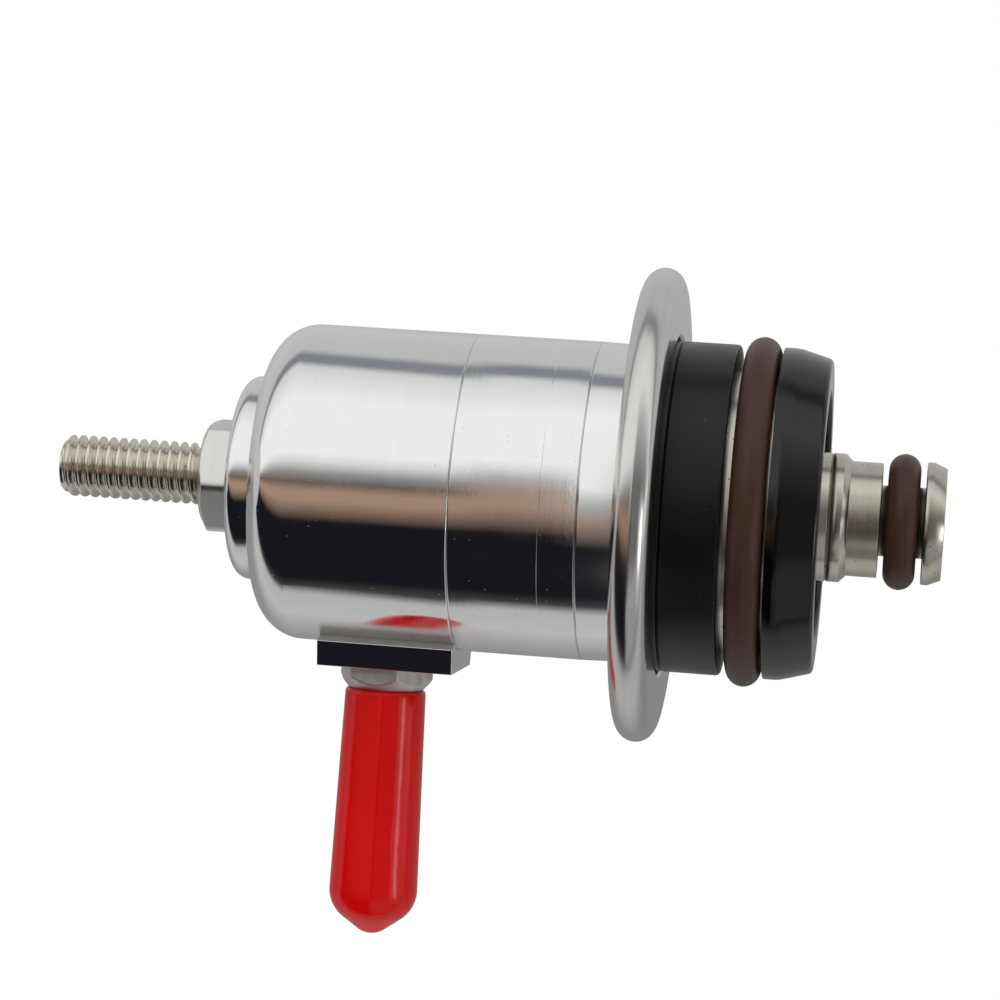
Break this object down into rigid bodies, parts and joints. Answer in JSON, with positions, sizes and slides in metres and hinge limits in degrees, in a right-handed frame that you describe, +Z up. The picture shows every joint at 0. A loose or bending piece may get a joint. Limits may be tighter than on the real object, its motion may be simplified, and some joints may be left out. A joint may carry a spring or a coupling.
{
  "type": "adjustable fuel pressure regulator",
  "caption": "Rail-mounted fuel pressure regulator with a screw adjuster, a diaphragm valve, a flanged sealing spigot and a capped vacuum port.",
  "frame": {"origin": "on the axis, in the plane of the flange face that seats on the fuel rail", "axes": "+X along the axis from the adjusting screw to the outlet stem, +Z up, vacuum port along -Z"},
  "size_m": [0.0839, 0.0444, 0.0648],
  "materials": {
    "polished_aluminium": "polished",
    "satin_steel": "satin, turned",
    "cup_steel": "bright drawn",
    "nickel_steel": "fine turned, warm",
    "screw_steel": "bright, warm",
    "zinc_steel": "bright plated",
    "inner_steel": "plain",
    "spring_steel": "drawn wire",
    "screen_wire": "woven",
    "black_rubber": "fabric reinforced",
    "brown_rubber": "moulded, satin",
    "matte_black_plastic": "moulded, matte",
    "satin_black_plastic": "moulded, semi-gloss",
    "red_vinyl": "dipped, glossy"
  },
  "bodies": {
    "housing": {"upper_cover": "polished_aluminium", "cover_seal": "brown_rubber", "body_sleeve": "polished_aluminium", "clamp_shell": "satin_steel", "pressure_spring": "spring_steel", "diaphragm": "black_rubber", "base_cup": "cup_steel", "outlet_stem": "nickel_steel", "front_support_ring": "matte_black_plastic", "large_seal_ring": "brown_rubber", "rear_support_ring": "satin_black_plastic", "inlet_screen": "screen_wire", "small_seal_ring": "brown_rubber", "vacuum_nipple": "zinc_steel"},
    "spring_carriage": {"upper_spring_seat": "inner_steel"},
    "adjuster": {"adjusting_screw": "screw_steel"},
    "lock_nut": {"lock_nut": "zinc_steel"},
    "valve": {"lower_spring_seat": "inner_steel", "diaphragm_washer": "inner_steel", "valve_holder": "inner_steel", "valve_disc": "inner_steel"},
    "cap": {"protective_cap": "red_vinyl"}
  },
  "joints": [
    {"name": "adjuster_feed", "type": "slide", "parent": "housing", "child": "spring_carriage", "axis": [1, 0, 0], "range_m": [-0.002, 0.004], "deforming": ["pressure_spring"]},
    {"name": "adjuster_turn", "type": "hinge", "parent": "spring_carriage", "child": "adjuster", "pos_m": [-0.05, 0, 0], "axis": [1, 0, 0], "range_deg": [-720, 1440]},
    {"name": "lock_nut_turn", "type": "hinge", "parent": "housing", "child": "lock_nut", "pos_m": [-0.0427, 0, 0], "axis": [-1, 0, 0], "range_deg": [0, 360]},
    {"name": "valve_lift", "type": "slide", "parent": "housing", "child": "valve", "axis": [-1, 0, 0], "range_m": [0, 0.0008], "stiffness_N_per_m": 300, "deforming": ["diaphragm"]},
    {"name": "cap_pull", "type": "slide", "parent": "housing", "child": "cap", "axis": [0, 0, -1], "range_m": [0, 0.04]}
  ],
  "couplings": [
    {"joint": "adjuster_turn", "follows": "adjuster_feed", "rad_per_m": 6283.2}
  ]
}
